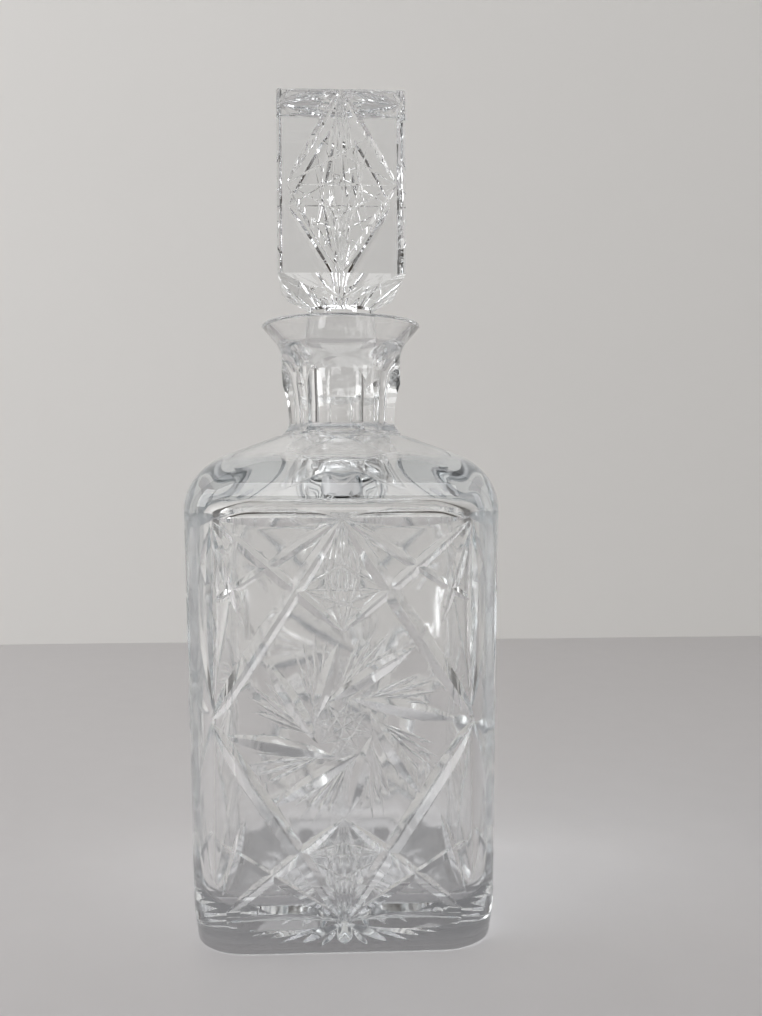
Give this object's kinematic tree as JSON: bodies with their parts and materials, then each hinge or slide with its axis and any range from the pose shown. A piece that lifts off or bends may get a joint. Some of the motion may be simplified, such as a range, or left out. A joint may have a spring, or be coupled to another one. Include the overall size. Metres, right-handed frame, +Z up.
{
  "type": "crystal decanter",
  "caption": "Square cut crystal decanter with star and pinwheel cut panels, a fluted neck, a flared lip and a lift-out ground glass stopper.",
  "frame": {"origin": "centre of the foot, on the surface that it stands on", "axes": "+Z up through the neck and stopper, -Y out of the front panel, +X to that panel's right"},
  "size_m": [0.09, 0.09, 0.2494],
  "materials": {
    "bottle_crystal": "clear polished cut crystal",
    "stopper_crystal": "clear polished cut crystal, with a polished ground peg"
  },
  "bodies": {
    "bottle": {"bottle": "bottle_crystal"},
    "stopper": {"stopper": "stopper_crystal"}
  },
  "joints": [
    {"name": "stopper_lift", "type": "slide", "parent": "bottle", "child": "stopper", "axis": [0, 0, 1], "range_m": [0, 0.06]}
  ]
}
